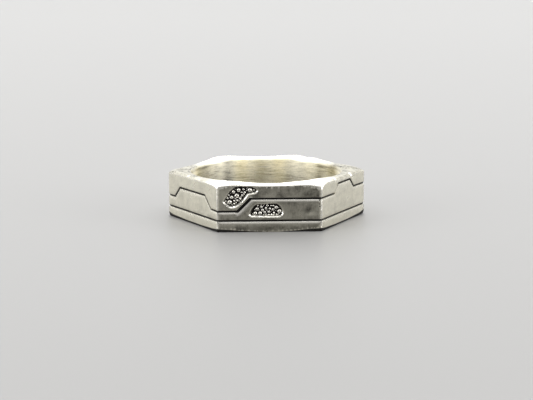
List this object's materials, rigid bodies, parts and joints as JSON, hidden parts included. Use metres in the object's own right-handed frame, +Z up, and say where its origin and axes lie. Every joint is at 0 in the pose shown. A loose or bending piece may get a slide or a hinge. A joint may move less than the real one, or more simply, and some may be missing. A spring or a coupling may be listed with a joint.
{
  "type": "hexagon ring",
  "caption": "Hexagonal metal finger ring with a round bore, engraved stepped lines round its sides, and recessed windows of small round grains in its front.",
  "frame": {"origin": "centre of the ring's bounding box, at its underside", "axes": "+Z up along the finger bore, +X from corner to corner, -Y towards the front side with the windows"},
  "size_m": [0.0248, 0.0216, 0.006],
  "materials": {
    "silver": "worn satin",
    "blackened_silver": "blackened in the hollows"
  },
  "bodies": {
    "root": {"band": "silver", "upper_grains": "blackened_silver", "lower_grains": "blackened_silver"}
  },
  "joints": []
}
